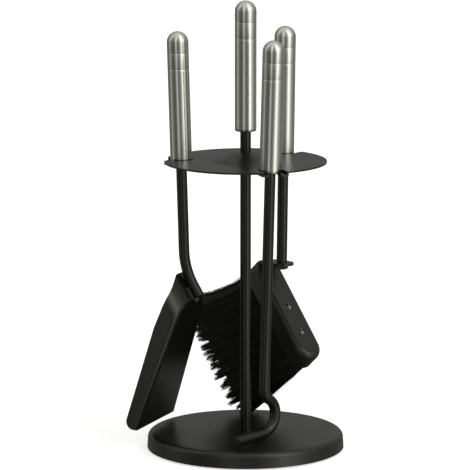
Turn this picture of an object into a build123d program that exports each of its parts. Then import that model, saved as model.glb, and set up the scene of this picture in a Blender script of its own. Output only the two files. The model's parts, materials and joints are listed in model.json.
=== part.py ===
from build123d import *
import os
from math import cos, radians, sin, tan

os.makedirs("parts", exist_ok=True)

# Fireplace tool set: a round base, one centre post, a slotted plate with three seats, and a
# shovel, a brush and a poker that each hang in a seat by their own handle.
# Millimetres and degrees. Origin: centre of the underside, +Z up the post, -Y is the front.

# ---- Stand ----
base_radius = 110.0
base_lean = 1.0  # the base's side leans in by this much from foot to top
base_top = 18.5  # height of the base's top face above the floor
base_edge_round = 6.0
felt_thickness = 1.5
felt_radius = 104.0
counterbore_radius = 14.0
counterbore_depth = 7.5
post_socket_depth = 2.0

post_radius = 6.0
stub_length = 23.0  # upper post, between the plate's crown and the stand's handle

plate_radius = 90.0
plate_thickness = 2.0
plate_rim_height = 325.0  # top face of the plate's flat rim
crown_height = 10.0  # how far the cone's crown stands above the rim
crown_radius = 10.0
cone_radius = 41.0
cone_blend = 8.0

slot_width = 13.5
seat_radius = 73.0  # centre of each handle's seat, from the post's axis
shovel_seat_radius = 72.0
seat_depth = 2.5
seat_margin = 1.5  # room between a handle and the wall of its trough
seat_gap = 0.1  # a hanging handle clears its seat by this much
lean = 2.0  # each tool's top leans outwards, as its seat's floor does

# ---- Handles ----
handle_radius = 12.0
handle_length = 144.5
handle_chamfer = 1.0
groove_depth = 0.7
groove_places = (24.0, 42.0)  # below the handle's top
spigot_radius = 4.0
spigot_length = 30.0
spigot_clearance = 0.05
bore_depth = 33.0
shoulder_gap = 0.3

# ---- Fasteners ----
thread_radius = 4.0
thread_clearance = 0.05
clearance_hole_radius = 4.5
screw_head_flats = 13.0
screw_head_height = 4.6
screw_reach = 20.0  # how far the base's screw reaches into the post
washer_radius = 8.0
washer_thickness = 1.6
stud_reach = 15.0  # how far the plate's stud reaches into each post
hole_spare = 2.0  # blind holes run this much past what they hold

# ---- Tools ----
rod_radius = 6.0
end_chamfer = 1.0

shovel_azimuth = 172.0  # where the slot is, about the post
shovel_facing = 158.5  # where the tool faces
shovel_lean_way = 145.0  # where the tool's top leans
shovel_drop = 100.5  # straight rod from handle to crank
shovel_crank_radius = 80.0
shovel_crank_angle = 28.3
shovel_tail = 15.0  # straight end of the rod, along the pan's heel
pan_slope = 20.3  # the pan's floor hangs outwards by this angle
pan_length = 151.0
pan_back_width = 76.0
pan_lip_width = 115.0
pan_back_wall = 25.0  # wall heights over the floor: at the heel, where the rod lies,
pan_corner_wall = 18.5  # at the heel's corners,
pan_side_wall = 20.5  # part of the way down the sides,
pan_lip_wall = 14.0  # and at the lip
pan_corner_place = -14.0  # down the pan from the heel's fold
pan_side_place = 35.0
pan_rim_round = 30.0
pan_thickness = 1.6
pan_side_flare = 2.0  # each side wall leans out by this much over the back wall's height
pan_corner_radius = 32.0  # heel corners in plan
pan_bend_radius = 7.0  # between floor and walls
pan_lip_corner = 10.0
weld_half_width = 6.8
weld_root = 1.5  # the weld starts this far either side of the line where rod and heel touch
weld_height = 2.2
weld_bead_radius = 4.4  # the bead that caps the rod's end
weld_bead_length = 5.5
weld_bead_round = 3.0

brush_azimuth = 54.5
brush_facing = -49.0
brush_lean_way = 68.0
brush_drop = 122.5  # handle to the top of the strap's tab
strap_width = 27.0
strap_thickness = 3.0
strap_reach = 25.0  # from the rod's axis back to the strap's bend
strap_slope = 41.0  # the strap's leg hangs at this angle from the rod
strap_bend_radius = 5.0  # outside of the bend
strap_length = 121.0
strap_recess_clearance = 0.3
brush_nut_flats = 13.0
brush_nut_height = 4.0
block_lead = 7.0  # the block runs this much past the strap's bend and past its lower end
block_width = 35.0
block_height = 23.5
block_round = 7.0
bristle_inset = 2.0  # the tufts start this far inside the block's outline
bristle_length = 109.0
bristle_width = 42.0  # across the tips
bristle_top_flare = 38.0  # the tips spread this far past the roots at the upper end
bristle_foot_draw = 8.0  # and stay this far inside them at the lower end
screw_places = (60.0, 94.0)  # along the strap's leg, from its bend
screw_dome_radius = 4.2
screw_dome_height = 2.0
screw_recess_span = 4.6  # the cross in each screw's head
screw_recess_width = 1.1
screw_recess_floor = 0.7  # above the head's underside
screw_radius = 2.0
screw_length = 18.0

poker_azimuth = -68.5
poker_facing = 45.0
poker_lean_way = -43.0
poker_drop = 240.5
poker_first_radius = 18.0
poker_first_angle = 59.0
poker_hook_radius = 20.0
poker_hook_angle = 146.0
poker_foot_length = 41.0


# ---- Places ----
def seat_place(azimuth, facing, lean_way, radius=seat_radius):
    """A tool's plane at its seat: Z up the tool's leaning axis, X the way the tool faces."""
    outwards = Vector(cos(radians(azimuth)), sin(radians(azimuth)), 0)
    leaning = Vector(cos(radians(lean_way)), sin(radians(lean_way)), 0)
    axis = (Vector(0, 0, 1) + leaning * tan(radians(lean))).normalized()
    facing_way = Vector(cos(radians(facing)), sin(radians(facing)), 0)
    facing_way = facing_way - axis * facing_way.dot(axis)
    centre = outwards * radius + Vector(0, 0, plate_rim_height - seat_depth)
    return Plane(origin=centre, x_dir=facing_way, z_dir=axis)


def side_view(place):
    """The plane through a tool's axis: sketch X the way the tool faces, sketch Y up the axis."""
    return Plane(origin=place.origin, x_dir=place.x_dir, z_dir=-place.y_dir)


shovel_seat = seat_place(shovel_azimuth, shovel_facing, shovel_lean_way, shovel_seat_radius)
brush_seat = seat_place(brush_azimuth, brush_facing, brush_lean_way)
poker_seat = seat_place(poker_azimuth, poker_facing, poker_lean_way)

crown_top = plate_rim_height + crown_height
stand_handle_place = Plane.XY.offset(crown_top + stub_length)


# ---- Base ----
with BuildPart() as base:
    with BuildSketch(Plane.XZ):
        with BuildLine():
            Polyline(
                (0, felt_thickness),
                (base_radius, felt_thickness),
                (base_radius - base_lean, base_top),
                (0, base_top),
                close=True,
            )
        make_face()
    revolve(axis=Axis.Z)
    fillet(base.faces().sort_by(Axis.Z)[-1].edges(), radius=base_edge_round)
    with Locations(Plane.XY.offset(base_top)):
        Hole(radius=clearance_hole_radius, depth=base_top)
    with BuildSketch(Plane.XY.offset(base_top)):
        Circle(post_radius)
    extrude(amount=-post_socket_depth, mode=Mode.SUBTRACT)
    with BuildSketch(Plane.XY.offset(felt_thickness)):
        Circle(counterbore_radius)
    extrude(amount=counterbore_depth, mode=Mode.SUBTRACT)
base.part.label = "base"
export_step(base.part, "parts/base.step")

with BuildPart() as base_felt:
    with BuildSketch():
        Circle(felt_radius)
    extrude(amount=felt_thickness)
base_felt.part.label = "base_felt"
export_step(base_felt.part, "parts/base_felt.step")

washer_top = felt_thickness + counterbore_depth
with BuildPart() as base_washer:
    with BuildSketch(Plane.XY.offset(washer_top)):
        Circle(washer_radius)
        Circle(clearance_hole_radius, mode=Mode.SUBTRACT)
    extrude(amount=-washer_thickness)
base_washer.part.label = "base_washer"
export_step(base_washer.part, "parts/base_washer.step")

post_foot = base_top - post_socket_depth
head_top = washer_top - washer_thickness
with BuildPart() as base_screw:
    with BuildSketch(Plane.XY.offset(head_top)):
        RegularPolygon(screw_head_flats / 2, 6, major_radius=False)
    extrude(amount=-screw_head_height)
    with BuildSketch(Plane.XY.offset(head_top)):
        Circle(thread_radius)
    extrude(amount=post_foot + screw_reach - head_top)
    chamfer(base_screw.faces().sort_by(Axis.Z)[-1].edges(), length=end_chamfer)
base_screw.part.label = "base_screw"
export_step(base_screw.part, "parts/base_screw.step")

# ---- Post, stud and plate ----
post_top = crown_top - plate_thickness
with BuildPart() as lower_post:
    with BuildSketch(Plane.XY.offset(post_foot)):
        Circle(post_radius)
    extrude(amount=post_top - post_foot)
    with BuildSketch(Plane.XY.offset(post_foot)):
        Circle(thread_radius + thread_clearance)
    extrude(amount=screw_reach + hole_spare, mode=Mode.SUBTRACT)
    with BuildSketch(Plane.XY.offset(post_top)):
        Circle(thread_radius + thread_clearance)
    extrude(amount=-stud_reach - hole_spare, mode=Mode.SUBTRACT)
lower_post.part.label = "lower_post"
export_step(lower_post.part, "parts/lower_post.step")

with BuildPart() as post_stud:
    with BuildSketch(Plane.XY.offset(post_top - stud_reach)):
        Circle(thread_radius)
    extrude(amount=plate_thickness + 2 * stud_reach)
    chamfer(post_stud.edges().filter_by(GeomType.CIRCLE), length=end_chamfer)
post_stud.part.label = "post_stud"
export_step(post_stud.part, "parts/post_stud.step")

with BuildPart() as upper_post:
    with BuildSketch(Plane.XY.offset(crown_top)):
        Circle(post_radius)
    extrude(amount=stub_length)
    with BuildSketch(stand_handle_place):
        Circle(spigot_radius)
    extrude(amount=spigot_length)
    chamfer(upper_post.faces().sort_by(Axis.Z)[-1].edges(), length=end_chamfer)
    with BuildSketch(Plane.XY.offset(crown_top)):
        Circle(thread_radius + thread_clearance)
    extrude(amount=stud_reach + hole_spare, mode=Mode.SUBTRACT)
upper_post.part.label = "upper_post"
export_step(upper_post.part, "parts/upper_post.step")

trough_width = 2 * (handle_radius + seat_margin)
with BuildPart() as tool_plate:
    with BuildSketch(Plane.XZ) as plate_section:
        with BuildLine():
            Polyline(
                (clearance_hole_radius, crown_top),
                (crown_radius, crown_top),
                (cone_radius, plate_rim_height),
                (plate_radius, plate_rim_height),
                (plate_radius, plate_rim_height - plate_thickness),
                (cone_radius, plate_rim_height - plate_thickness),
                (crown_radius, post_top),
                (clearance_hole_radius, post_top),
                close=True,
            )
        make_face()
        fillet(
            plate_section.vertices().filter_by_position(Axis.X, crown_radius - 1, cone_radius + 1),
            radius=cone_blend,
        )
    revolve(axis=Axis.Z)
    for seat in (shovel_seat, brush_seat, poker_seat):
        outwards = Vector(seat.origin.X, seat.origin.Y, 0).normalized()
        rim_plane = Plane(
            origin=(seat.origin.X, seat.origin.Y, plate_rim_height), x_dir=outwards, z_dir=(0, 0, 1)
        )
        along_floor = outwards - seat.z_dir * outwards.dot(seat.z_dir)
        floor_plane = Plane(origin=seat.origin, x_dir=along_floor, z_dir=seat.z_dir)
        to_rim = plate_radius - Vector(seat.origin.X, seat.origin.Y, 0).length
        # The trough's outside, then what lies under its floor, then its hollow, then the slot.
        with BuildSketch(rim_plane):
            Circle(trough_width / 2 + plate_thickness)
            with Locations((to_rim / 2, 0)):
                Rectangle(to_rim, trough_width + 2 * plate_thickness)
        extrude(amount=-3 * plate_thickness)
        with BuildSketch(floor_plane.offset(-plate_thickness)):
            Rectangle(2 * trough_width, 2 * trough_width)
        extrude(amount=-3 * plate_thickness, mode=Mode.SUBTRACT)
        with BuildSketch(floor_plane):
            Circle(trough_width / 2)
            with Locations((to_rim, 0)):
                Rectangle(2 * to_rim, trough_width)
        extrude(amount=3 * seat_depth, mode=Mode.SUBTRACT)
        with BuildSketch(floor_plane):
            Circle(slot_width / 2)
            with Locations((to_rim, 0)):
                Rectangle(2 * to_rim, slot_width)
        extrude(amount=-3 * plate_thickness, mode=Mode.SUBTRACT)
    with BuildSketch(Plane.XY.offset(plate_rim_height - 4 * plate_thickness)):
        Circle(plate_radius)
    extrude(amount=crown_height + 6 * plate_thickness, mode=Mode.INTERSECT)
tool_plate.part.label = "tool_plate"
export_step(tool_plate.part, "parts/tool_plate.step")


# ---- Handles ----
def make_handle(place):
    """A round bar with a domed top, two fine grooves and a blind bore for the rod's spigot."""
    bore_radius = spigot_radius + spigot_clearance
    with BuildPart() as handle:
        with BuildSketch(side_view(place)):
            with BuildLine():
                Polyline(
                    (0, handle_length),
                    (0, 0),
                    (handle_radius - handle_chamfer, 0),
                    (handle_radius, handle_chamfer),
                    (handle_radius, handle_length - handle_radius),
                )
                CenterArc((0, handle_length - handle_radius), handle_radius, 0, 90)
            make_face()
            with Locations(*[(handle_radius, handle_length - drop) for drop in groove_places]):
                RegularPolygon(groove_depth, 4, mode=Mode.SUBTRACT)
            with Locations((bore_radius / 2, bore_depth / 2)):
                Rectangle(bore_radius, bore_depth, mode=Mode.SUBTRACT)
        revolve(axis=Axis(place.origin, place.z_dir))
    return handle.part


handle_places = {
    "stand_handle": stand_handle_place,
    "shovel_handle": shovel_seat.offset(seat_gap),
    "brush_handle": brush_seat.offset(seat_gap),
    "poker_handle": poker_seat.offset(seat_gap),
}
for handle_name, handle_place in handle_places.items():
    handle_part = make_handle(handle_place)
    handle_part.label = handle_name
    export_step(handle_part, f"parts/{handle_name}.step")

# ---- Shovel ----
shoulder_level = seat_gap - shoulder_gap  # top of each rod's full section, below its handle
with BuildPart() as shovel_rod:
    with BuildLine(side_view(shovel_seat)) as shovel_run:
        straight = Line((0, shoulder_level), (0, -shovel_drop))
        crank = JernArc(straight @ 1, straight % 1, shovel_crank_radius, -shovel_crank_angle)
        tail = Line(crank @ 1, crank @ 1 + (crank % 1) * shovel_tail)
    with BuildSketch(shovel_seat.offset(shoulder_level)):
        Circle(rod_radius)
    sweep(path=shovel_run.line)
    chamfer(
        shovel_rod.edges().filter_by(GeomType.CIRCLE).sort_by(Axis(shovel_seat.origin, shovel_seat.z_dir))[0],
        length=end_chamfer,
    )
    with BuildSketch(shovel_seat.offset(shoulder_level)):
        Circle(spigot_radius)
    extrude(amount=spigot_length)
shovel_rod.part.label = "shovel_rod"
export_step(shovel_rod.part, "parts/shovel_rod.step")

# The pan's floor plane: X down the pan to its lip, Z out of its open side. The heel lies along
# the rod's tail, on the far side of the rod, so the sheet's outside touches the rod.
rod_end = tail @ 1
tail_way = (tail % 1).normalized()
facing = shovel_seat.x_dir
up = shovel_seat.z_dir
pan_down = facing * sin(radians(pan_slope)) - up * cos(radians(pan_slope))
pan_out = facing * cos(radians(pan_slope)) + up * sin(radians(pan_slope))
heel_out = facing * cos(radians(shovel_crank_angle)) - up * sin(radians(shovel_crank_angle))
heel_foot = rod_end + heel_out * rod_radius
pan_floor = Plane(origin=heel_foot, x_dir=pan_down, z_dir=pan_out)
heel_angle = pan_slope + shovel_crank_angle  # heel wall against the floor, continued upwards
heel_run = pan_back_wall / tan(radians(heel_angle))


def pan_outline(back, back_width, lip_width, corner):
    """The pan in plan, from its heel to its lip, with round heel corners."""
    half_back = back_width / 2
    half_lip = lip_width / 2
    with BuildSketch(Plane.XY) as plan:
        with BuildLine():
            Polyline(
                (back, -half_back),
                (back, half_back),
                (pan_length, half_lip),
                (pan_length, -half_lip),
                close=True,
            )
        make_face()
        fillet(plan.vertices().sort_by(Axis.X)[:2], radius=corner)
    return plan.sketch


floor_outline = pan_outline(0, pan_back_width, pan_lip_width, pan_corner_radius)
rim_outline = pan_outline(
    -heel_run,
    pan_back_width + 2 * pan_side_flare,
    pan_lip_width + 2 * pan_side_flare,
    pan_corner_radius,
)
out_axis = Axis(pan_floor.origin, pan_floor.z_dir)
lip_axis = Axis(pan_floor.origin, pan_floor.x_dir)
with BuildPart() as pan_block:
    with BuildSketch(pan_floor):
        add(floor_outline)
    with BuildSketch(pan_floor.offset(pan_back_wall)):
        add(rim_outline)
    loft(ruled=True)
    floor_face = pan_block.faces().sort_by(out_axis)[0]
    bend_edges = floor_face.edges() - [floor_face.edges().sort_by(lip_axis)[-1]]
    fillet(bend_edges, radius=pan_bend_radius)

# From its corners the rim climbs on a straight line through the heel's top.
heel_rise = heel_run * (pan_back_wall - pan_corner_wall) / (heel_run + pan_corner_place)
with BuildPart() as shovel_pan:
    add(pan_block.part)
    open_faces = [shovel_pan.faces().sort_by(out_axis)[-1], shovel_pan.faces().sort_by(lip_axis)[-1]]
    offset(amount=-pan_thickness, openings=open_faces)
    # The rim peaks at the heel, falls slowly along the sides and ends in a round corner.
    with BuildSketch(Plane(origin=pan_floor.origin, x_dir=pan_down, z_dir=-shovel_seat.y_dir)) as wall_side:
        with BuildLine():
            Polyline(
                (-2 * heel_run, -pan_thickness),
                (pan_length, -pan_thickness),
                (pan_length, pan_lip_wall),
                (pan_side_place, pan_side_wall),
                (pan_corner_place, pan_corner_wall),
                (-2 * heel_run, pan_back_wall + heel_rise),
                close=True,
            )
        make_face()
        fillet(wall_side.vertices().sort_by(Axis((0, 0, 0), (1, 1, 0)))[-1], radius=pan_lip_corner)
        fillet(
            wall_side.vertices().filter_by_position(Axis.X, pan_corner_place - 1, pan_side_place + 1),
            radius=pan_rim_round,
        )
    extrude(amount=pan_lip_width, both=True, mode=Mode.INTERSECT)
shovel_pan.part.label = "shovel_pan"
export_step(shovel_pan.part, "parts/shovel_pan.step")

# The weld fills both corners between the rod's tail and the heel, and a bead caps the rod's end.
tail_top = rod_end - tail_way * shovel_tail
weld_plane = Plane(origin=tail_top, x_dir=shovel_seat.y_dir, z_dir=tail_way)
weld_out = weld_plane.to_local_coords(tail_top + heel_out).Y  # +1 or -1: where the heel lies
with BuildPart() as shovel_weld:
    with BuildSketch(weld_plane.offset(shovel_tail)):
        with Locations((0, weld_out * rod_radius)):
            Circle(weld_bead_radius)
    extrude(amount=weld_bead_length)
    fillet(
        shovel_weld.faces().sort_by(Axis(tail_top, tail_way))[-1].edges(),
        radius=weld_bead_round,
    )
    add(pan_block.part, mode=Mode.SUBTRACT)
    for side in (-1, 1):
        with BuildSketch(weld_plane):
            with BuildLine():
                Polyline(
                    (side * weld_root, weld_out * rod_radius),
                    (side * weld_root, weld_out * (rod_radius - weld_height)),
                    (side * rod_radius, weld_out * (rod_radius - weld_height)),
                    (side * weld_half_width, weld_out * rod_radius),
                    close=True,
                )
            make_face()
        extrude(amount=shovel_tail)
    add(shovel_rod.part, mode=Mode.SUBTRACT)
shovel_weld.part.label = "shovel_weld"
export_step(shovel_weld.part, "parts/shovel_weld.step")

# ---- Brush ----
tab_top = -brush_drop
tab_under = tab_top - strap_thickness
with BuildPart() as brush_rod:
    with BuildSketch(brush_seat.offset(shoulder_level)):
        Circle(rod_radius)
    extrude(amount=tab_top - shoulder_level)
    with BuildSketch(brush_seat.offset(shoulder_level)):
        Circle(spigot_radius)
    extrude(amount=spigot_length)
    with BuildSketch(brush_seat.offset(tab_top)):
        Circle(spigot_radius)
    extrude(amount=-strap_thickness - brush_nut_height - end_chamfer)
brush_rod.part.label = "brush_rod"
export_step(brush_rod.part, "parts/brush_rod.step")

# The leg's plane: X down the leg from its bend, Z out of its outer face, where the screws go in.
brush_face = brush_seat.x_dir
brush_up = brush_seat.z_dir
leg_way = brush_face * sin(radians(strap_slope)) - brush_up * cos(radians(strap_slope))
leg_out = brush_face * cos(radians(strap_slope)) + brush_up * sin(radians(strap_slope))
bend_point = brush_seat.origin - brush_face * strap_reach + brush_up * tab_under
leg_plane = Plane(origin=bend_point, x_dir=leg_way, z_dir=leg_out)

with BuildPart() as brush_strap:
    tab_plane = brush_seat.offset(tab_top)
    with BuildSketch(tab_plane):
        Circle(strap_width / 2)
        with Locations((-strap_reach / 2, 0)):
            Rectangle(strap_reach, strap_width)
    extrude(amount=-strap_thickness)
    with BuildSketch(leg_plane):
        with Locations(((strap_length - strap_width / 2) / 2, 0)):
            Rectangle(strap_length - strap_width / 2, strap_width)
        with Locations((strap_length - strap_width / 2, 0)):
            Circle(strap_width / 2)
    extrude(amount=-strap_thickness)
    # The bend joins tab and leg by a wedge of the same thickness, rounded outside.
    with BuildSketch(side_view(brush_seat).offset(-strap_width / 2)):
        half_turn = radians((90 + strap_slope) / 2)
        apex = (-strap_reach - strap_thickness * tan(half_turn), tab_top)
        leg_back = (
            -strap_reach - strap_thickness * cos(radians(strap_slope)),
            tab_under - strap_thickness * sin(radians(strap_slope)),
        )
        with BuildLine():
            Polyline((-strap_reach, tab_under), (-strap_reach, tab_top), apex, leg_back, close=True)
        make_face()
    extrude(amount=strap_width)
    outer_bend = brush_strap.edges().filter_by(Axis(bend_point, brush_seat.y_dir)).sort_by(
        Axis(bend_point, brush_face * -1 + brush_up)
    )[-1]
    fillet(outer_bend, radius=strap_bend_radius)
    with BuildSketch(tab_plane):
        Circle(spigot_radius + spigot_clearance)
    extrude(amount=-strap_thickness, mode=Mode.SUBTRACT)
    with BuildSketch(leg_plane):
        with Locations(*[(place, 0) for place in screw_places]):
            Circle(screw_radius + thread_clearance)
    extrude(amount=-strap_thickness, mode=Mode.SUBTRACT)
brush_strap.part.label = "brush_strap"
export_step(brush_strap.part, "parts/brush_strap.step")

with BuildPart() as brush_nut:
    with BuildSketch(brush_seat.offset(tab_under)):
        RegularPolygon(brush_nut_flats / 2, 6, major_radius=False)
        Circle(spigot_radius + spigot_clearance, mode=Mode.SUBTRACT)
    extrude(amount=-brush_nut_height)
brush_nut.part.label = "brush_nut"
export_step(brush_nut.part, "parts/brush_nut.step")

with BuildPart() as brush_screws:
    for screw_place in screw_places:
        screw_centre = leg_plane.from_local_coords((screw_place, 0, 0))
        screw_side = Plane(origin=screw_centre, x_dir=leg_way, z_dir=-leg_plane.y_dir)
        with BuildSketch(screw_side):
            with BuildLine():
                Polyline(
                    (0, screw_dome_height),
                    (0, -screw_length),
                    (screw_radius, -screw_length),
                    (screw_radius, 0),
                    (screw_dome_radius, 0),
                )
                TangentArc((0, screw_dome_height), (screw_dome_radius, 0), tangent=(1, 0))
            make_face()
        revolve(axis=Axis(screw_centre, leg_out))
        with BuildSketch(leg_plane.offset(screw_recess_floor)):
            with Locations((screw_place, 0)):
                Rectangle(screw_recess_span, screw_recess_width)
                Rectangle(screw_recess_width, screw_recess_span)
        extrude(amount=screw_dome_height, mode=Mode.SUBTRACT)
brush_screws.part.label = "brush_screws"
export_step(brush_screws.part, "parts/brush_screws.step")

block_length = strap_length + 2 * block_lead
block_middle = strap_length / 2
with BuildPart() as brush_block:
    with BuildSketch(leg_plane):
        with Locations((block_middle, 0)):
            SlotOverall(block_length, block_width)
    extrude(amount=-block_height)
    fillet(brush_block.faces().sort_by(Axis(bend_point, leg_out))[-1].edges(), radius=block_round)
    # The strap's leg lies in a recess that is open at the bend.
    with BuildSketch(leg_plane):
        with Locations(((strap_length - strap_width / 2 - 2 * block_lead) / 2, 0)):
            Rectangle(
                strap_length - strap_width / 2 + 2 * block_lead, strap_width + 2 * strap_recess_clearance
            )
        with Locations((strap_length - strap_width / 2, 0)):
            Circle(strap_width / 2 + strap_recess_clearance)
    extrude(amount=-strap_thickness, mode=Mode.SUBTRACT)
    # Room behind the strap's bend, where it is thicker across the corner.
    with BuildSketch(leg_plane.offset(-strap_thickness)):
        with Locations((-2 * block_lead, 0)):
            Rectangle(4 * block_lead, block_width)
    extrude(amount=-strap_thickness, mode=Mode.SUBTRACT)
    with BuildSketch(leg_plane):
        with Locations(*[(place, 0) for place in screw_places]):
            Circle(screw_radius + thread_clearance)
    extrude(amount=-screw_length - hole_spare, mode=Mode.SUBTRACT)
brush_block.part.label = "brush_block"
export_step(brush_block.part, "parts/brush_block.step")

root_length = block_length - 2 * bristle_inset
tip_length = root_length + bristle_top_flare - bristle_foot_draw
tip_middle = block_middle - (bristle_top_flare + bristle_foot_draw) / 2
with BuildPart() as brush_bristles:
    with BuildSketch(leg_plane.offset(-block_height)):
        with Locations((block_middle, 0)):
            SlotOverall(root_length, block_width - 2 * bristle_inset)
    with BuildSketch(leg_plane.offset(-block_height - bristle_length)):
        with Locations((tip_middle, 0)):
            SlotOverall(tip_length, bristle_width)
    loft(ruled=True)
brush_bristles.part.label = "brush_bristles"
export_step(brush_bristles.part, "parts/brush_bristles.step")

# ---- Poker ----
with BuildPart() as poker_rod:
    with BuildLine(side_view(poker_seat)) as poker_run:
        shank = Line((0, shoulder_level), (0, -poker_drop))
        kick = JernArc(shank @ 1, shank % 1, poker_first_radius, poker_first_angle)
        hook = JernArc(kick @ 1, kick % 1, poker_hook_radius, -poker_hook_angle)
        foot = Line(hook @ 1, hook @ 1 + (hook % 1) * poker_foot_length)
    with BuildSketch(poker_seat.offset(shoulder_level)):
        Circle(rod_radius)
    sweep(path=poker_run.line)
    chamfer(
        poker_rod.faces().sort_by(Axis(foot @ 0, foot % 0))[-1].edges(),
        length=end_chamfer,
    )
    with BuildSketch(poker_seat.offset(shoulder_level)):
        Circle(spigot_radius)
    extrude(amount=spigot_length)
poker_rod.part.label = "poker_rod"
export_step(poker_rod.part, "parts/poker_rod.step")
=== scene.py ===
# %% [markdown]
# # A fireplace tool set
# The set stands on a round cast base. One post carries a slotted plate, and a shovel, a brush and
# a poker hang in the plate's three slots by their own turned aluminium handles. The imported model
# already holds the shapes that fit and move. This script gives every piece its finish, and makes
# again the pieces whose look needs more than a working solid: the four turned handles and the
# brush's tufts.

# %% The frame
import bpy, json, math
import numpy as np
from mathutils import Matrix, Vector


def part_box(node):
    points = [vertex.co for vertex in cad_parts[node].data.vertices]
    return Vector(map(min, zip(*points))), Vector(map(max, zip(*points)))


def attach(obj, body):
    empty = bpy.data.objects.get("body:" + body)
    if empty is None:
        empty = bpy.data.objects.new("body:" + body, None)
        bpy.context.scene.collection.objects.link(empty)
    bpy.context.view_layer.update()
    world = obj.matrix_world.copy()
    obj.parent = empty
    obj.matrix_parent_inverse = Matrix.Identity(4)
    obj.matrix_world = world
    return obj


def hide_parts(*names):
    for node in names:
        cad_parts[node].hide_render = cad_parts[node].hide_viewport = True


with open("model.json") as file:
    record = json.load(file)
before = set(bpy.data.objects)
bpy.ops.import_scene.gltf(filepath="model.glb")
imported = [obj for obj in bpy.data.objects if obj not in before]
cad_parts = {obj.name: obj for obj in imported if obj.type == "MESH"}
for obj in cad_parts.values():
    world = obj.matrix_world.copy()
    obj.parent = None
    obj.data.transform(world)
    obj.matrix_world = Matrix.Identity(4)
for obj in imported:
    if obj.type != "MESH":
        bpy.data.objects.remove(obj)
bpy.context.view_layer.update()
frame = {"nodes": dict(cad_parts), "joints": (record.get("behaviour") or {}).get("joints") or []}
nodes = frame["nodes"]
joints = {joint["name"]: joint for joint in frame["joints"]}

# %% [markdown]
# ## The studio
# Bare metal shows nothing but what stands round it, so the studio matters as much as the paint.
# Tall softboxes could be lamps, but a world shader that paints them on the sky by compass angle
# gives the same reflections with no noise. Each stop below is a compass angle, counted from the
# viewer's side and growing to the right, and the brightness seen there.

# %% The sky
STRIPS = (
    (-180, 0.17), (-150, 0.16), (-128, 0.15), (-105, 0.16), (-91, 0.48), (-80, 0.25),
    (-63, 0.11), (-40, 0.10), (-28, 0.20), (-18, 0.74), (-8, 0.24), (3, 0.14), (14, 0.18),
    (25, 0.36), (36, 0.88), (46, 1.75), (57, 1.20), (70, 0.64), (83, 0.38), (98, 0.24),
    (118, 0.20), (140, 0.18), (158, 0.19), (180, 0.17),
)
HEIGHTS = (
    (-1.0, 0.3), (-0.72, 0.35), (-0.40, 0.8), (-0.25, 1.0), (0.08, 1.0), (0.28, 1.9), (0.62, 1.9),
    (0.86, 0.8), (1.0, 0.6),
)
SEEN_WHITE = 1.2  # past full white, so the warm light still looks white where it is seen directly
OVERHEAD = ((-1.0, 0.0), (0.55, 0.0), (0.9, 0.55), (1.0, 0.55))
LIGHT_COLOUR = (0.99, 1.0, 0.94, 1.0)


def ramp(tree, stops, low, high, factor):
    """A Color Ramp whose stops are (place between low and high, grey), fed by factor."""
    span = tree.nodes.new("ShaderNodeMapRange")
    span.inputs["From Min"].default_value = low
    span.inputs["From Max"].default_value = high
    tree.links.new(factor, span.inputs["Value"])
    colours = tree.nodes.new("ShaderNodeValToRGB")
    tree.links.new(span.outputs["Result"], colours.inputs["Fac"])
    elements = colours.color_ramp.elements
    elements.remove(elements[1])
    for index, (place, grey) in enumerate(stops):
        spot = (place - low) / (high - low)
        element = elements[0] if index == 0 else elements.new(spot)
        element.position = spot
        element.color = (grey, grey, grey, 1.0)
    return colours.outputs["Color"]


def feed(tree, value, target):
    """Puts a value in an input: a socket is linked to it, and a number or colour is set."""
    if isinstance(value, bpy.types.NodeSocket):
        tree.links.new(value, target)
    else:
        target.default_value = value


def math_node(tree, operation, *values):
    """A Math node. Each value is a number or the socket that feeds it."""
    node = tree.nodes.new("ShaderNodeMath")
    node.operation = operation
    for index, value in enumerate(values):
        feed(tree, value, node.inputs[index])
    return node.outputs[0]


def build_sky():
    """The world: white where the viewer looks straight at it, softboxes where a surface does."""
    world = bpy.data.worlds.new("studio")
    world.use_nodes = True
    tree = world.node_tree
    background = tree.nodes["Background"]
    where = tree.nodes.new("ShaderNodeTexCoord")
    split = tree.nodes.new("ShaderNodeSeparateXYZ")
    tree.links.new(where.outputs["Generated"], split.inputs["Vector"])
    front = math_node(tree, "MULTIPLY", split.outputs["Y"], -1.0)
    compass = math_node(tree, "ARCTAN2", split.outputs["X"], front)
    degrees = math_node(tree, "DEGREES", compass)
    strips = ramp(tree, STRIPS, -180.0, 180.0, degrees)
    heights = ramp(tree, HEIGHTS, -1.0, 1.0, split.outputs["Z"])
    overhead = ramp(tree, OVERHEAD, -1.0, 1.0, split.outputs["Z"])
    boxes = math_node(tree, "MULTIPLY_ADD", strips, heights, overhead)
    seen = tree.nodes.new("ShaderNodeLightPath").outputs["Is Camera Ray"]
    brightness = math_node(tree, "MAXIMUM", boxes, math_node(tree, "MULTIPLY", seen, SEEN_WHITE))
    tree.links.new(brightness, background.inputs["Strength"])
    background.inputs["Color"].default_value = LIGHT_COLOUR
    return world


scene = bpy.context.scene
scene.world = build_sky()
scene.view_settings.view_transform = "Standard"
print("softbox stops", len(STRIPS))

# %% [markdown]
# ## Floor and camera
# The floor is a pale sheet that glows a little, so it stays nearly white right round the set. It
# is hidden from glossy rays: polished metal would otherwise see one blank sheet instead of the
# softboxes. The camera is a long lens, far off and a little above, as in a catalogue.

# %% Floor and camera
FLOOR_REACH = 30.0
FLOOR_DROP = 0.0003
FLOOR_COLOUR = (0.82, 0.82, 0.81, 1.0)
GLOW_COLOUR = (1.0, 1.0, 0.985, 1.0)
GLOW_STRENGTH = 0.62
VIEW_DISTANCE = 3.777
VIEW_HEIGHT = 0.9187
VIEW_PITCH = 0.1775
VIEW_YAW = 0.0031
FOCAL_LENGTH = 264.9
SENSOR_WIDTH = 36.0
FARTHEST_SEEN = 100.0


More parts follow.
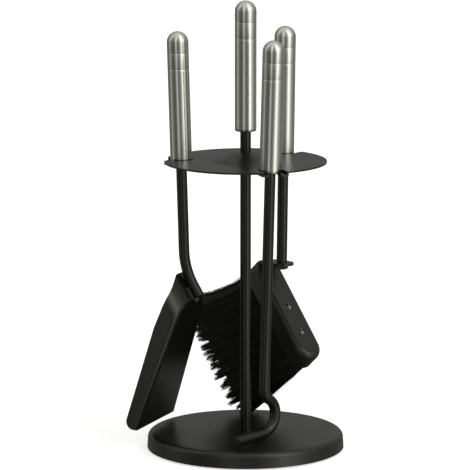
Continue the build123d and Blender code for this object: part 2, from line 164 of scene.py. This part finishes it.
def material(name):
    """An empty node material and its Principled shader."""
    made = bpy.data.materials.new(name)
    made.use_nodes = True
    return made, made.node_tree, made.node_tree.nodes["Principled BSDF"]


floor_paint, _, floor_shader = material("studio_floor")
floor_shader.inputs["Base Color"].default_value = FLOOR_COLOUR
floor_shader.inputs["Roughness"].default_value = 0.9
floor_shader.inputs["Specular IOR Level"].default_value = 0.0
floor_shader.inputs["Emission Color"].default_value = GLOW_COLOUR
floor_shader.inputs["Emission Strength"].default_value = GLOW_STRENGTH

floor_mesh = bpy.data.meshes.new("floor")
quarters = ((-1, -1), (1, -1), (1, 1), (-1, 1))
corners = [(x * FLOOR_REACH, y * FLOOR_REACH, -FLOOR_DROP) for x, y in quarters]
floor_mesh.from_pydata(corners, [], [(0, 1, 2, 3)])
floor_mesh.materials.append(floor_paint)
floor = bpy.data.objects.new("floor", floor_mesh)
scene.collection.objects.link(floor)
floor.visible_glossy = False

camera_data = bpy.data.cameras.new("camera")
camera_data.lens = FOCAL_LENGTH
camera_data.sensor_width = SENSOR_WIDTH
camera_data.clip_end = FARTHEST_SEEN
camera = bpy.data.objects.new("camera", camera_data)
camera.location = (0.0, -VIEW_DISTANCE, VIEW_HEIGHT)
camera.rotation_euler = (math.pi / 2 - VIEW_PITCH, 0.0, VIEW_YAW)
scene.collection.objects.link(camera)
scene.camera = camera

# %% [markdown]
# ## Shared effects
# Powder coat comes back on five finishes and turning marks on every handle, so each is a node
# group with its own inputs. A group could hold the whole shader, but the Principled shader stays
# in each material and the group feeds only its colour, roughness and normal.

# %% Node group helpers
MIX_FIRST, MIX_SECOND, MIX_RESULT = 6, 7, 2  # a Mix node's colour sockets share names with others


def node_group(name, inputs, outputs):
    """A shader node group. inputs are (name, type, default) and outputs are (name, type)."""
    tree = bpy.data.node_groups.new(name, "ShaderNodeTree")
    for label, kind, default in inputs:
        socket = tree.interface.new_socket(label, in_out="INPUT", socket_type=kind)
        if default is not None:
            socket.default_value = default
    for label, kind in outputs:
        tree.interface.new_socket(label, in_out="OUTPUT", socket_type=kind)
    return tree, tree.nodes.new("NodeGroupInput"), tree.nodes.new("NodeGroupOutput")


def use_group(tree, group, vector, **values):
    """A group placed in a material's tree, with its own values and its pattern's coordinates."""
    node = tree.nodes.new("ShaderNodeGroup")
    node.node_tree = group
    for label, value in values.items():
        node.inputs[label].default_value = value
    tree.links.new(vector, node.inputs["Vector"])
    return node


def noise(tree, vector, scale, detail=2.0, roughness=0.5):
    """A noise texture's grey output. scale is a number or a socket, per metre."""
    node = tree.nodes.new("ShaderNodeTexNoise")
    tree.links.new(vector, node.inputs["Vector"])
    feed(tree, scale, node.inputs["Scale"])
    node.inputs["Detail"].default_value = detail
    node.inputs["Roughness"].default_value = roughness
    return node.outputs["Fac"]


def bump(tree, height, strength, distance):
    """A bump node's normal. distance is a number or a socket, in metres."""
    node = tree.nodes.new("ShaderNodeBump")
    tree.links.new(height, node.inputs["Height"])
    node.inputs["Strength"].default_value = strength
    feed(tree, distance, node.inputs["Distance"])
    return node.outputs["Normal"]


def mix_colour(tree, factor, first, second):
    """A Mix node's colour. first and second are colours or sockets."""
    node = tree.nodes.new("ShaderNodeMix")
    node.data_type = "RGBA"
    tree.links.new(factor, node.inputs["Factor"])
    feed(tree, first, node.inputs[MIX_FIRST])
    feed(tree, second, node.inputs[MIX_SECOND])
    return node.outputs[MIX_RESULT]


def object_coordinates(tree):
    """The piece's own place in metres, which a moving body carries along."""
    return tree.nodes.new("ShaderNodeTexCoord").outputs["Object"]


# %% The groups
DRIFTS_PER_METRE = 38.0
BANDS_PER_METRE = 240.0
RING_BREAK = 0.0008  # how far a ring's pattern shifts in one turn round the bar, in metres


def build_powder_group():
    """Powder coat: a fine orange-peel grain, with slow drifts of tone and of roughness."""
    tree, given, out = node_group(
        "powder_grain",
        (
            ("Vector", "NodeSocketVector", None),
            ("Grain", "NodeSocketFloat", 1500.0),
            ("Depth", "NodeSocketFloat", 0.00004),
            ("Roughness", "NodeSocketFloat", 0.45),
            ("Dark", "NodeSocketColor", (0.01, 0.01, 0.01, 1.0)),
            ("Light", "NodeSocketColor", (0.02, 0.02, 0.02, 1.0)),
        ),
        (
            ("Color", "NodeSocketColor"),
            ("Roughness", "NodeSocketFloat"),
            ("Normal", "NodeSocketVector"),
        ),
    )
    vector = given.outputs["Vector"]
    grain = noise(tree, vector, given.outputs["Grain"], 3.0, 0.6)
    drift = noise(tree, vector, DRIFTS_PER_METRE, 2.0)
    tone = math_node(tree, "MULTIPLY_ADD", grain, 0.7, math_node(tree, "MULTIPLY", drift, 0.3))
    colour = mix_colour(tree, tone, given.outputs["Dark"], given.outputs["Light"])
    tree.links.new(colour, out.inputs["Color"])
    wander = math_node(tree, "MULTIPLY_ADD", drift, 0.12, -0.06)
    roughness = math_node(tree, "ADD", given.outputs["Roughness"], wander)
    tree.links.new(roughness, out.inputs["Roughness"])
    tree.links.new(bump(tree, grain, 0.6, given.outputs["Depth"]), out.inputs["Normal"])
    return tree


def build_turned_group():
    """Turning marks: rings of differing height along a lathe-turned bar, broken a little around it.
    Its vector is the piece's own map, U round the bar and V along it in metres."""
    tree, given, out = node_group(
        "turned_rings",
        (
            ("Vector", "NodeSocketVector", None),
            ("Rings", "NodeSocketFloat", 2600.0),
            ("Depth", "NodeSocketFloat", 0.00001),
            ("Roughness", "NodeSocketFloat", 0.3),
        ),
        (
            ("Tone", "NodeSocketFloat"),
            ("Roughness", "NodeSocketFloat"),
            ("Normal", "NodeSocketVector"),
        ),
    )
    split = tree.nodes.new("ShaderNodeSeparateXYZ")
    tree.links.new(given.outputs["Vector"], split.inputs["Vector"])
    join = tree.nodes.new("ShaderNodeCombineXYZ")
    around = math_node(tree, "MULTIPLY", split.outputs["X"], RING_BREAK)
    tree.links.new(around, join.inputs["X"])
    tree.links.new(split.outputs["Y"], join.inputs["Y"])
    rings = noise(tree, join.outputs["Vector"], given.outputs["Rings"], 3.0, 0.65)
    bands = noise(tree, join.outputs["Vector"], BANDS_PER_METRE, 2.0)
    half_rings = math_node(tree, "MULTIPLY", rings, 0.5)
    tree.links.new(math_node(tree, "MULTIPLY_ADD", bands, 0.5, half_rings), out.inputs["Tone"])
    wander = math_node(tree, "MULTIPLY_ADD", rings, 0.06, -0.03)
    roughness = math_node(tree, "ADD", given.outputs["Roughness"], wander)
    tree.links.new(roughness, out.inputs["Roughness"])
    tree.links.new(bump(tree, rings, 0.1, given.outputs["Depth"]), out.inputs["Normal"])
    return tree


powder_grain = build_powder_group()
turned_rings = build_turned_group()

# %% [markdown]
# ## Finishes
# The frame's black is a satin powder coat. It is never one flat black: the grain scatters light
# into a soft grey, and a cast base has a coarser grain than drawn bar.

# %% Powder-coated steel and iron
COAT_TINT = (1.0, 0.99, 0.90, 1.0)
COARSE_DARK, COARSE_LIGHT = (0.006, 0.006, 0.005), (0.012, 0.011, 0.010)
SHEET_DARK, SHEET_LIGHT = (0.004, 0.005, 0.004), (0.009, 0.009, 0.008)
BAR_DARK, BAR_LIGHT = (0.003, 0.003, 0.003), (0.007, 0.007, 0.006)
BLOCK_DARK, BLOCK_LIGHT = (0.006, 0.006, 0.005), (0.012, 0.012, 0.010)
FELT_DARK, FELT_LIGHT = (0.006, 0.006, 0.006), (0.016, 0.016, 0.016)


def powder_coat(name, grain, depth, roughness, dark, light, specular=0.5):
    """Satin powder coat. grain is in grains per metre, depth in metres."""
    made, tree, shader = material(name)
    group = use_group(
        tree, powder_grain, object_coordinates(tree),
        Grain=grain, Depth=depth, Roughness=roughness,
        Dark=(*dark, 1.0), Light=(*light, 1.0),
    )
    tree.links.new(group.outputs["Color"], shader.inputs["Base Color"])
    tree.links.new(group.outputs["Roughness"], shader.inputs["Roughness"])
    tree.links.new(group.outputs["Normal"], shader.inputs["Normal"])
    shader.inputs["Specular IOR Level"].default_value = specular
    shader.inputs["Specular Tint"].default_value = COAT_TINT
    return made


base_paint = powder_coat("powder_coat_base", 1300, 0.00004, 0.32, COARSE_DARK, COARSE_LIGHT)
sheet_paint = powder_coat("powder_coat_sheet", 1700, 0.00002, 0.30, SHEET_DARK, SHEET_LIGHT)
bar_paint = powder_coat("powder_coat_bar", 1900, 0.00002, 0.26, BAR_DARK, BAR_LIGHT)
block_paint = powder_coat("moulded_block", 900, 0.00002, 0.34, BLOCK_DARK, BLOCK_LIGHT)
felt_cloth = powder_coat("felt", 3200, 0.00025, 0.95, FELT_DARK, FELT_LIGHT, 0.1)

# %% [markdown]
# The handles are turned from aluminium bar and left satin. Turning leaves fine rings, so a
# highlight stays sharp across the handle and smears along it. Anisotropy gives that smear. Its
# tangent comes from each handle's own map and runs round the bar, so a quarter turn lays it along.

# %% Turned aluminium and the metal fixings
ALUMINIUM_DARK = (0.67, 0.68, 0.63, 1.0)
ALUMINIUM_LIGHT = (0.74, 0.75, 0.70, 1.0)
QUARTER_TURN = 0.25


def turned_aluminium():
    """Satin turned aluminium."""
    made, tree, shader = material("turned_aluminium")
    own_map = tree.nodes.new("ShaderNodeUVMap")
    own_map.uv_map = "turning"
    group = use_group(
        tree, turned_rings, own_map.outputs["UV"],
        Rings=1500.0, Depth=0.000001, Roughness=0.24,
    )
    colour = mix_colour(tree, group.outputs["Tone"], ALUMINIUM_DARK, ALUMINIUM_LIGHT)
    tree.links.new(colour, shader.inputs["Base Color"])
    tree.links.new(group.outputs["Roughness"], shader.inputs["Roughness"])
    tree.links.new(group.outputs["Normal"], shader.inputs["Normal"])
    shader.inputs["Metallic"].default_value = 1.0
    shader.inputs["Anisotropic"].default_value = 0.8
    shader.inputs["Anisotropic Rotation"].default_value = QUARTER_TURN
    tangent = tree.nodes.new("ShaderNodeTangent")
    tangent.direction_type = "UV_MAP"
    tangent.uv_map = "turning"
    tree.links.new(tangent.outputs["Tangent"], shader.inputs["Tangent"])
    return made


def plain_metal(name, colour, roughness):
    """Plated or polished metal with a faint cloudiness."""
    made, tree, shader = material(name)
    where = object_coordinates(tree)
    cloud = noise(tree, where, 700.0, 3.0)
    darker = tuple(channel * 0.8 for channel in colour)
    shade = mix_colour(tree, cloud, (*darker, 1.0), (*colour, 1.0))
    tree.links.new(shade, shader.inputs["Base Color"])
    dulled = math_node(tree, "MULTIPLY_ADD", cloud, 0.15, roughness)
    tree.links.new(dulled, shader.inputs["Roughness"])
    tree.links.new(bump(tree, cloud, 0.3, 0.00001), shader.inputs["Normal"])
    shader.inputs["Metallic"].default_value = 1.0
    return made


aluminium = turned_aluminium()
zinc = plain_metal("zinc_plate", (0.56, 0.57, 0.55), 0.3)
bright_steel = plain_metal("bright_screw", (0.16, 0.16, 0.15), 0.16)

# %% [markdown]
# ## Surfaces from numpy
# Every new piece is a grid: one direction runs round the piece, the other along it. The whole
# grid is worked out at once as an array, and joined into quads by index arithmetic.

# %% Grid helpers
def unit(vector):
    """The vector at length one."""
    vector = np.asarray(vector, float)
    return vector / np.linalg.norm(vector)


def triangle_count(faces):
    """Triangles in a list of faces: a face of n corners makes n - 2."""
    return sum(len(face) - 2 for face in faces)


def make_piece(name, points, faces, paint, body, loop_uv=None):
    """A mesh object from arrays, with smooth shading, riding on a body."""
    mesh = bpy.data.meshes.new(name)
    mesh.from_pydata(points, [], faces)
    mesh.polygons.foreach_set("use_smooth", np.ones(len(mesh.polygons), bool))
    if loop_uv is not None:
        layer = mesh.uv_layers.new(name="turning")
        layer.data.foreach_set("uv", np.asarray(loop_uv, np.float32).ravel())
    mesh.materials.append(paint)
    mesh.update()
    piece = bpy.data.objects.new(name, mesh)
    scene.collection.objects.link(piece)
    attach(piece, body)
    return piece


# %% [markdown]
# ## Handles
# Each handle is one turned bar: a flat foot with a small chamfer, a long shank, two fine grooves
# and a domed end. It could stay the working solid, but a lathe surface of our own carries the map
# that the turning marks need and gives the groove lips their tiny rounds.

# %% The handle's outline
HANDLE_RADIUS = 0.012
HANDLE_LENGTH = 0.1445
FOOT_CHAMFER = 0.001
BORE_RADIUS = 0.00405
BORE_DEPTH = 0.033
GROOVE_PLACES = (0.042, 0.024)
GROOVE_HALF = 0.0004
GROOVE_DEPTH = 0.0003
GROOVE_LIP = 1.35  # the lip's outer edge, in half widths of the groove
GROOVE_ROUND = 0.12  # the share of depth and of half width that the rounded corners take
FOOT_ROUND = 0.0003
FOOT_BULGE = 0.55
SHANK_START = 0.004
SHANK_STOP = 0.046
SHANK_RINGS = 24
DOME_RINGS = 26
HANDLE_SIDES = 112


def handle_outline():
    """(radius, height) points from the top of the bore, out over the foot, up the shank and over
    the dome to its pole. The dome is r = R cos a, z = L - R + R sin a."""
    foot = [
        (0.0, BORE_DEPTH), (BORE_RADIUS, BORE_DEPTH),
        (BORE_RADIUS, FOOT_ROUND), (BORE_RADIUS + FOOT_ROUND, 0.0),
        (HANDLE_RADIUS - FOOT_CHAMFER, 0.0),
        (HANDLE_RADIUS - FOOT_ROUND, FOOT_CHAMFER * FOOT_BULGE), (HANDLE_RADIUS, FOOT_CHAMFER),
    ]
    heights = np.linspace(SHANK_START, HANDLE_LENGTH - SHANK_STOP, SHANK_RINGS)
    shank = [(HANDLE_RADIUS, z) for z in heights]
    for drop in GROOVE_PLACES:
        z = HANDLE_LENGTH - drop
        lip = GROOVE_HALF * GROOVE_LIP
        shank += [
            (HANDLE_RADIUS, z - lip),
            (HANDLE_RADIUS - GROOVE_DEPTH * GROOVE_ROUND, z - GROOVE_HALF),
            (HANDLE_RADIUS - GROOVE_DEPTH, z - GROOVE_HALF * GROOVE_ROUND),
            (HANDLE_RADIUS - GROOVE_DEPTH, z + GROOVE_HALF * GROOVE_ROUND),
            (HANDLE_RADIUS - GROOVE_DEPTH * GROOVE_ROUND, z + GROOVE_HALF),
            (HANDLE_RADIUS, z + lip),
        ]
    angle = np.linspace(0.0, math.pi / 2, DOME_RINGS)
    dome_height = HANDLE_LENGTH - HANDLE_RADIUS * (1 - np.sin(angle))
    dome = np.column_stack((HANDLE_RADIUS * np.cos(angle), dome_height))
    dome[-1, 0] = 0.0
    return np.vstack((foot, shank, dome))


def lathe(outline, sides):
    """Points, faces and map of a turned solid whose outline starts and ends on the axis.
    A ring point is (r cos t, r sin t, z). The two poles are single points."""
    turn = np.linspace(0.0, 2 * math.pi, sides, endpoint=False)
    rings = outline[1:-1]
    grid = np.empty((len(rings), sides, 3))
    grid[..., 0] = rings[:, :1] * np.cos(turn)
    grid[..., 1] = rings[:, :1] * np.sin(turn)
    grid[..., 2] = rings[:, 1:]
    poles = np.array([[0.0, 0.0, outline[0, 1]], [0.0, 0.0, outline[-1, 1]]])
    points = np.vstack((grid.reshape(-1, 3), poles))
    column = np.arange(sides)
    beside = (column + 1) % sides
    row = np.arange(len(rings) - 1)[:, None] * sides
    above = row + sides
    quads = np.stack((row + column, row + beside, above + beside, above + column), -1)
    first, last = len(points) - 2, len(points) - 1
    top = (len(rings) - 1) * sides
    start_fan = np.column_stack((np.full(sides, first), beside, column))
    end_fan = np.column_stack((np.full(sides, last), top + column, top + beside))
    along = np.concatenate(([0.0], np.cumsum(np.hypot(*np.diff(outline, axis=0).T))))
    left, right = column / sides, (column + 1) / sides
    low = np.broadcast_to(along[1:-2, None], (len(rings) - 1, sides))
    high = np.broadcast_to(along[2:-1, None], (len(rings) - 1, sides))
    wide_left, wide_right = np.broadcast_to(left, low.shape), np.broadcast_to(right, low.shape)
    quad_map = np.stack((wide_left, low, wide_right, low, wide_right, high, wide_left, high), -1)
    middle = (left + right) / 2
    pole, rim = np.full(sides, along[0]), np.full(sides, along[1])
    start_map = np.column_stack((middle, pole, right, rim, left, rim))
    pole, rim = np.full(sides, along[-1]), np.full(sides, along[-2])
    end_map = np.column_stack((middle, pole, left, rim, right, rim))
    faces = quads.reshape(-1, 4).tolist() + start_fan.tolist() + end_fan.tolist()
    loop_map = np.concatenate((quad_map.ravel(), start_map.ravel(), end_map.ravel()))
    return points, faces, loop_map.reshape(-1, 2)


# %% The four handles
def axis_frame(axis):
    """Two directions across an axis, and the axis itself, as the columns of a matrix."""
    axis = unit(axis)
    across = unit(np.cross((0.0, 1.0, 0.0), axis))
    return np.column_stack((across, np.cross(axis, across), axis))


SEAT_GAP = 0.0001
SHARP_EDGE = math.radians(40)
UPWARD = (0.0, 0.0, 1.0)
handle_points, handle_faces, handle_map = lathe(handle_outline(), HANDLE_SIDES)
post_top = (0.0, 0.0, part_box("stand_handle")[0].z)
handle_seats = {"stand_handle": ("stand", post_top, UPWARD)}
for tool in ("shovel", "brush", "poker"):
    turn_joint = joints[f"{tool}_turn"]
    foot = np.array(turn_joint["pos_m"]) + unit(turn_joint["axis"]) * SEAT_GAP
    handle_seats[f"{tool}_handle"] = (f"{tool}_grip", foot, turn_joint["axis"])
for node, (body, foot, axis) in handle_seats.items():
    placed = handle_points @ axis_frame(axis).T + np.array(foot)
    handle = make_piece(
        f"turned_{node}", placed, handle_faces, aluminium, body, handle_map
    )
    handle.data.set_sharp_from_angle(angle=SHARP_EDGE)
    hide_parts(node)
print("handle triangles", triangle_count(handle_faces))

# %% [markdown]
# ## The brush
# The head is a moulded block with tufts of stiff black fibre set in rows. A particle system could
# grow them, but plain arrays keep every fibre in our hands: each one is a thin three-sided taper,
# and each tuft leans, bunches and ends a little differently from its neighbours. A fibre whose
# tip would reach the base is cut off just above it.

# %% The brush head's own axes
BRUSH_FACING = math.radians(-49.0)
STRAP_SLOPE = math.radians(41.0)
STRAP_REACH = 0.025
STRAP_LENGTH = 0.121
TAB_UNDERSIDE = 0.1255
BLOCK_LEAD = 0.007
BLOCK_WIDTH = 0.035
BLOCK_HEIGHT = 0.0235
ROOT_INSET = 0.002
FIBRE_LENGTH = 0.109
TIP_WIDTH = 0.042
TOP_FLARE = 0.038
FOOT_DRAW = 0.008

brush_axis = unit(joints["brush_turn"]["axis"])
brush_seat = np.array(joints["brush_turn"]["pos_m"])
facing = np.array((math.cos(BRUSH_FACING), math.sin(BRUSH_FACING), 0.0))
facing = unit(facing - brush_axis * (facing @ brush_axis))
leg_way = facing * math.sin(STRAP_SLOPE) - brush_axis * math.cos(STRAP_SLOPE)
leg_out = facing * math.cos(STRAP_SLOPE) + brush_axis * math.sin(STRAP_SLOPE)
leg_side = np.cross(leg_out, leg_way)
leg_start = brush_seat - facing * STRAP_REACH - brush_axis * TAB_UNDERSIDE


def from_leg(along, across, out):
    """Points in the shared frame from lengths down the leg, across it and out of its face."""
    sideways = along[..., None] * leg_way + across[..., None] * leg_side
    return leg_start + sideways + out[..., None] * leg_out


# %% The fibres
TUFT_ROWS = 6
TUFT_COLUMNS = 24
FIBRES_PER_TUFT = 66
FIBRE_RINGS = 4
FIBRE_RADIUS = 0.00031
FIBRE_PROUD = 1.09
TIP_GATHER = 0.95
TUFT_RADIUS = 0.0021
TUFT_SCATTER = 0.55
TUFT_SWAY = 0.0015
TUFT_UNEVENNESS = 0.013
TIP_SCATTER = 0.0006
FIBRE_UNEVENNESS = 0.09
UNEVENNESS_POWER = 1.7
FIBRE_CURL = 0.0009
SPLAY_POWER = 1.6
ROOT_SUNK = 0.002
TIP_TAPER = 0.6
CORNER_FULLNESS = 1.3
BASE_CLEARANCE = 0.0008
base_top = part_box("base")[1].z
draw = np.random.default_rng(7)

root_length = STRAP_LENGTH + 2 * BLOCK_LEAD - 2 * ROOT_INSET
root_middle = STRAP_LENGTH / 2
root_width = BLOCK_WIDTH - 2 * ROOT_INSET
tip_length = root_length + TOP_FLARE - FOOT_DRAW
tip_middle = root_middle - (TOP_FLARE + FOOT_DRAW) / 2


def tuft_places():
    """Staggered rows of tuft centres as shares of the root's half length and half width, kept
    inside its rounded outline."""
    row = np.linspace(-1, 1, TUFT_ROWS)
    column = np.linspace(-1, 1, TUFT_COLUMNS)
    along, across = np.meshgrid(column, row)
    along = along + (np.arange(TUFT_ROWS)[:, None] % 2) / TUFT_COLUMNS
    half_round = root_width / root_length
    end = np.clip((np.abs(along) - (1 - half_round)) / half_round, 0, None)
    inside = end**2 + across**2 <= CORNER_FULLNESS
    return np.column_stack((along[inside], across[inside])).clip(-1, 1)


def fibre_paths():
    """Centre lines of all fibres, an array of (fibre, ring, 3) lengths in the leg's axes.
    At share t of its length a fibre stands at root + (tip - root) t^1.6 sideways, and t L down.
    A tip below the base's top plus a clearance is drawn back along the leg until it clears."""
    tufts = tuft_places()
    count = len(tufts) * FIBRES_PER_TUFT
    tuft = np.repeat(np.arange(len(tufts)), FIBRES_PER_TUFT)
    spread = draw.normal(0, 1, (count, 2)) * TUFT_RADIUS * TUFT_SCATTER
    root = np.column_stack((
        root_middle + tufts[tuft, 0] * (root_length / 2 - TUFT_RADIUS),
        tufts[tuft, 1] * (root_width / 2 - TUFT_RADIUS),
    )) + spread
    tuft_sway = draw.normal(0, TUFT_SWAY, (len(tufts), 2))
    reach = 1 - TUFT_UNEVENNESS * np.abs(draw.normal(0, 1, len(tufts)))
    tip = np.column_stack((
        tip_middle + tufts[tuft, 0] * (tip_length / 2 - TUFT_RADIUS),
        tufts[tuft, 1] * (TIP_WIDTH / 2 - TUFT_RADIUS),
    )) + tuft_sway[tuft] + spread * TIP_GATHER + draw.normal(0, TIP_SCATTER, (count, 2))
    short = FIBRE_UNEVENNESS * draw.random(count) ** UNEVENNESS_POWER
    length = FIBRE_LENGTH * FIBRE_PROUD * reach[tuft] * (1 - short)
    tip_height = from_leg(tip[:, 0], tip[:, 1], -BLOCK_HEIGHT - length)[:, 2]
    too_low = np.clip(base_top + BASE_CLEARANCE - tip_height, 0, None)
    length = length - too_low / leg_out[2]
    share = np.linspace(0, 1, FIBRE_RINGS)
    curl = draw.normal(0, FIBRE_CURL, (count, 1, 2)) * np.sin(math.pi * share)[None, :, None]
    sideways = root[:, None] + (tip - root)[:, None] * (share**SPLAY_POWER)[None, :, None] + curl
    down = -BLOCK_HEIGHT + ROOT_SUNK - share[None] * (length[:, None] + ROOT_SUNK)
    return np.concatenate((sideways, down[..., None]), -1)


def fibre_mesh(paths):
    """Points and faces of three-sided tapers along the paths, each closed at both ends.
    A ring's corner k stands at angle 2 pi k / 3 about the path, at the fibre's own radius."""
    count, rings, _ = paths.shape
    centre = from_leg(paths[..., 0], paths[..., 1], paths[..., 2])
    start = draw.random((count, 1, 1)) * 2 * math.pi
    angle = start + np.arange(3)[None, None] * (2 * math.pi / 3)
    taper = np.linspace(1.0, TIP_TAPER, rings)[None, :, None]
    radius = FIBRE_RADIUS * (0.8 + 0.4 * draw.random((count, 1, 1))) * taper
    corner = (np.cos(angle) * radius)[..., None] * leg_way
    corner = corner + (np.sin(angle) * radius)[..., None] * leg_side
    points = (centre[:, :, None] + corner).reshape(-1, 3)
    first = (np.arange(count) * rings * 3)[:, None, None]
    ring = (np.arange(rings - 1) * 3)[None, :, None]
    side = np.arange(3)
    beside = (side + 1) % 3
    base = first + ring
    quads = np.stack((base + side, base + 3 + side, base + 3 + beside, base + beside), -1)
    roots = np.arange(count)[:, None] * rings * 3 + side
    tips = (np.arange(count) * rings * 3 + (rings - 1) * 3)[:, None] + side[::-1]
    return points, quads.reshape(-1, 4).tolist() + roots.tolist() + tips.tolist()


# %% Fibre finish and pieces
def fibre_finish(name, dark, light, roughness):
    """Stiff synthetic fibre: near black, with a dull sheen and a tone that drifts from place to
    place."""
    made, tree, shader = material(name)
    where = object_coordinates(tree)
    tone = noise(tree, where, 420.0, 2.0)
    shade = mix_colour(tree, tone, (*dark, 1.0), (*light, 1.0))
    tree.links.new(shade, shader.inputs["Base Color"])
    dulled = math_node(tree, "MULTIPLY_ADD", tone, 0.2, roughness)
    tree.links.new(dulled, shader.inputs["Roughness"])
    shader.inputs["Specular IOR Level"].default_value = 0.25
    return made


fibre_black = fibre_finish("brush_fibre", (0.006, 0.006, 0.005), (0.015, 0.015, 0.013), 0.45)
fibre_points, fibre_faces = fibre_mesh(fibre_paths())
fibres = make_piece(
    "brush_fibres", fibre_points, fibre_faces, fibre_black, "brush_tool"
)
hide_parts("brush_bristles")
print("fibres", len(fibre_points) // (3 * FIBRE_RINGS), "triangles", triangle_count(fibre_faces))

# %% [markdown]
# Seen from the side, a packed brush is solid black to within a thumb's width of its tips. A dark
# core inside the tufts gives that depth at little cost. It stands partly for the packed black
# fibres and partly for the shade deep among them, as painted shade. It is a lofted block whose
# outline, a rounded slot, widens from root to near the tips.

# %% The dark core, partly painted shade
CORE_SIDES = 72
CORE_RINGS = 10
CORE_END = 0.93
CORE_INSET = 0.0016


def slot_outline(half_length, half_width, sides):
    """A closed slot: a point's angle picks its place on the end arcs, and the two arcs' centres
    stand half_length - half_width either side of the middle."""
    angle = np.linspace(0, 2 * math.pi, sides, endpoint=False) + math.pi / sides
    shift = np.sign(np.cos(angle)) * (half_length - half_width)
    return np.column_stack((shift + half_width * np.cos(angle), half_width * np.sin(angle)))


def core_mesh():
    """Points and faces of the core: slots from root to tip, closed by a fan at each end."""
    share = np.linspace(0, CORE_END, CORE_RINGS)
    slots = []
    for part in share:
        bend = part**SPLAY_POWER
        half_length = (root_length + (tip_length - root_length) * bend) / 2 - CORE_INSET
        half_width = (root_width + (TIP_WIDTH - root_width) * bend) / 2 - CORE_INSET
        middle = root_middle + (tip_middle - root_middle) * bend
        outline = slot_outline(half_length, half_width, CORE_SIDES)
        down = np.full(CORE_SIDES, -BLOCK_HEIGHT - part * FIBRE_LENGTH)
        slots.append(from_leg(outline[:, 0] + middle, outline[:, 1], down))
    grid = np.array(slots)
    points = np.vstack((grid.reshape(-1, 3), grid[0].mean(0), grid[-1].mean(0)))
    side = np.arange(CORE_SIDES)
    beside = (side + 1) % CORE_SIDES
    row = np.arange(CORE_RINGS - 1)[:, None] * CORE_SIDES
    next_row = row + CORE_SIDES
    quads = np.stack((row + side, next_row + side, next_row + beside, row + beside), -1)
    last = (CORE_RINGS - 1) * CORE_SIDES
    root_fan = np.column_stack((np.full(CORE_SIDES, len(points) - 2), side, beside))
    tip_fan = np.column_stack((np.full(CORE_SIDES, len(points) - 1), last + beside, last + side))
    return points, quads.reshape(-1, 4).tolist() + root_fan.tolist() + tip_fan.tolist()


# The core's finish is darker and duller than the fibres': painted shade for the depth of the tufts.
core_painted_shade = fibre_finish("brush_core_painted_shade", (0.003, 0.003, 0.003), (0.008, 0.008, 0.008), 0.7)
core_points, core_faces = core_mesh()
make_piece("brush_core_painted_shade", core_points, core_faces, core_painted_shade, "brush_tool")
print("core triangles", triangle_count(core_faces))

# %% [markdown]
# ## Finishes on the working pieces
# The other pieces keep the shapes that fit and move, so each only takes its finish.

# %% Painting the frame's own pieces
FINISHES = {
    base_paint: ("base",),
    sheet_paint: ("tool_plate", "shovel_pan", "brush_strap"),
    bar_paint: (
        "lower_post", "upper_post", "shovel_rod", "shovel_weld", "brush_rod", "brush_nut",
        "poker_rod",
    ),
    block_paint: ("brush_block",),
    felt_cloth: ("base_felt",),
    zinc: ("base_screw", "base_washer", "post_stud"),
    bright_steel: ("brush_screws",),
}
for finish, painted in FINISHES.items():
    for node in painted:
        nodes[node].data.materials.clear()
        nodes[node].data.materials.append(finish)
print("painted", sum(len(painted) for painted in FINISHES.values()))
